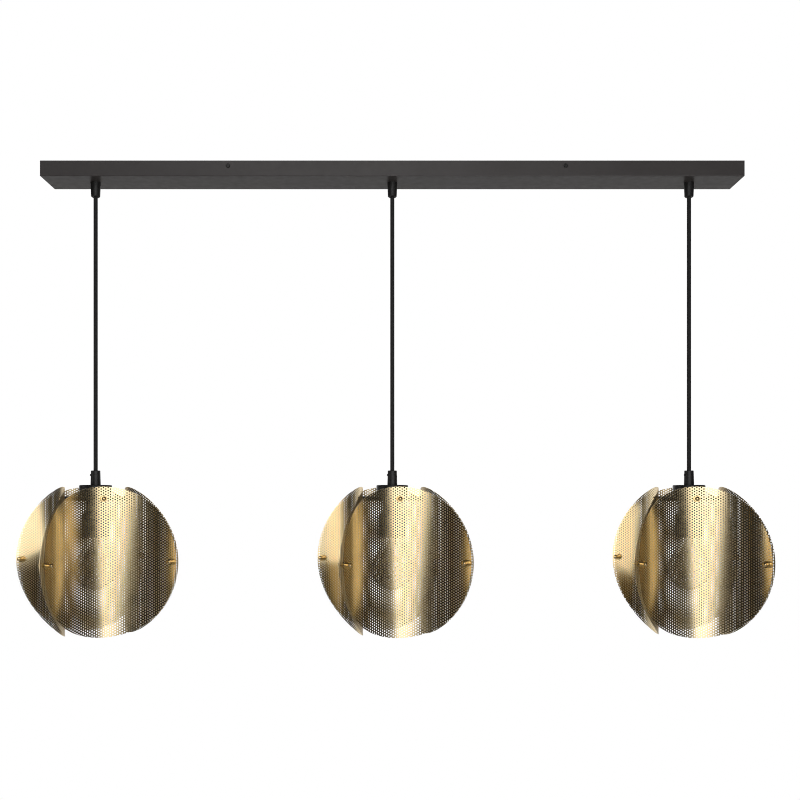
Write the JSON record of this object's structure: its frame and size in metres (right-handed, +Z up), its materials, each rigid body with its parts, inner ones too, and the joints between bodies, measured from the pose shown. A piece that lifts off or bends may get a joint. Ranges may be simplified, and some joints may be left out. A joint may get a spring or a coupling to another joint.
{
  "type": "linear island pendant",
  "caption": "Long ceiling canopy with straight cords to shades of bent perforated brass discs, bolted back to back round a bulb.",
  "frame": {"origin": "centre of the mounting rail's ceiling slots, in the ceiling plane", "axes": "+Z up to the ceiling, X along the canopy, front faces -Y"},
  "size_m": [1.0883, 0.2532, 0.6756],
  "materials": {
    "canopy_paint": "satin dark brown-grey",
    "zinc_steel": "zinc plated",
    "black_steel": "satin black",
    "black_plastic": "matt black",
    "terminal_plastic": "natural",
    "cord": "woven textile, black",
    "brass_sheet": "satin polished, perforated",
    "brass": "polished",
    "bulb_metal": "plain",
    "bulb_glass": "clear"
  },
  "bodies": {
    "canopy": {"canopy_tray": "canopy_paint", "mounting_rail": "zinc_steel", "tray_screws": "black_steel", "terminal_block": "terminal_plastic", "earth_screw": "zinc_steel", "top_grip_nuts": "zinc_steel", "top_grip_screws": "black_steel", "cord_tails": "cord", "left_top_grip": "black_plastic", "middle_top_grip": "black_plastic", "right_top_grip": "black_plastic"},
    "left_bend": {"left_cord_bend": "cord"},
    "left_cord": {"left_cord": "cord"},
    "left_shade": {"left_lower_grip": "black_plastic", "left_lower_grip_screw": "black_steel", "left_cup": "black_steel", "left_spider": "black_steel", "left_lampholder": "black_plastic", "left_sheet_front": "brass_sheet", "left_sheet_right": "brass_sheet", "left_sheet_back": "brass_sheet", "left_sheet_left": "brass_sheet", "left_arm_screws": "brass", "left_cusp_bolts": "brass", "left_cusp_spacers": "brass"},
    "left_bulb": {"left_bulb_cap": "bulb_metal", "left_bulb_glass": "bulb_glass"},
    "middle_bend": {"middle_cord_bend": "cord"},
    "middle_cord": {"middle_cord": "cord"},
    "middle_shade": {"middle_lower_grip": "black_plastic", "middle_lower_grip_screw": "black_steel", "middle_cup": "black_steel", "middle_spider": "black_steel", "middle_lampholder": "black_plastic", "middle_sheet_front": "brass_sheet", "middle_sheet_right": "brass_sheet", "middle_sheet_back": "brass_sheet", "middle_sheet_left": "brass_sheet", "middle_arm_screws": "brass", "middle_cusp_bolts": "brass", "middle_cusp_spacers": "brass"},
    "middle_bulb": {"middle_bulb_cap": "bulb_metal", "middle_bulb_glass": "bulb_glass"},
    "right_bend": {"right_cord_bend": "cord"},
    "right_cord": {"right_cord": "cord"},
    "right_shade": {"right_lower_grip": "black_plastic", "right_lower_grip_screw": "black_steel", "right_cup": "black_steel", "right_spider": "black_steel", "right_lampholder": "black_plastic", "right_sheet_front": "brass_sheet", "right_sheet_right": "brass_sheet", "right_sheet_back": "brass_sheet", "right_sheet_left": "brass_sheet", "right_arm_screws": "brass", "right_cusp_bolts": "brass", "right_cusp_spacers": "brass"},
    "right_bulb": {"right_bulb_cap": "bulb_metal", "right_bulb_glass": "bulb_glass"}
  },
  "joints": [
    {"name": "left_side_swing", "type": "hinge", "parent": "canopy", "child": "left_bend", "pos_m": [-0.43, 0, -0.044], "axis": [0, 1, 0], "range_deg": [-8, 8]},
    {"name": "left_front_swing", "type": "hinge", "parent": "left_bend", "child": "left_cord", "pos_m": [-0.43, 0, -0.044], "axis": [1, 0, 0], "range_deg": [-8, 8]},
    {"name": "left_twist", "type": "hinge", "parent": "left_cord", "child": "left_shade", "pos_m": [-0.43, 0, -0.443], "axis": [0, 0, 1], "range_deg": [-60, 60]},
    {"name": "left_bulb_out", "type": "slide", "parent": "left_shade", "child": "left_bulb", "axis": [0, 0, -1], "range_m": [0, 0.12]},
    {"name": "middle_side_swing", "type": "hinge", "parent": "canopy", "child": "middle_bend", "pos_m": [0, 0, -0.044], "axis": [0, 1, 0], "range_deg": [-8, 8]},
    {"name": "middle_front_swing", "type": "hinge", "parent": "middle_bend", "child": "middle_cord", "pos_m": [0, 0, -0.044], "axis": [1, 0, 0], "range_deg": [-8, 8]},
    {"name": "middle_twist", "type": "hinge", "parent": "middle_cord", "child": "middle_shade", "pos_m": [0, 0, -0.443], "axis": [0, 0, 1], "range_deg": [-60, 60]},
    {"name": "middle_bulb_out", "type": "slide", "parent": "middle_shade", "child": "middle_bulb", "axis": [0, 0, -1], "range_m": [0, 0.12]},
    {"name": "right_side_swing", "type": "hinge", "parent": "canopy", "child": "right_bend", "pos_m": [0.43, 0, -0.044], "axis": [0, 1, 0], "range_deg": [-8, 8]},
    {"name": "right_front_swing", "type": "hinge", "parent": "right_bend", "child": "right_cord", "pos_m": [0.43, 0, -0.044], "axis": [1, 0, 0], "range_deg": [-8, 8]},
    {"name": "right_twist", "type": "hinge", "parent": "right_cord", "child": "right_shade", "pos_m": [0.43, 0, -0.443], "axis": [0, 0, 1], "range_deg": [-60, 60]},
    {"name": "right_bulb_out", "type": "slide", "parent": "right_shade", "child": "right_bulb", "axis": [0, 0, -1], "range_m": [0, 0.12]}
  ]
}
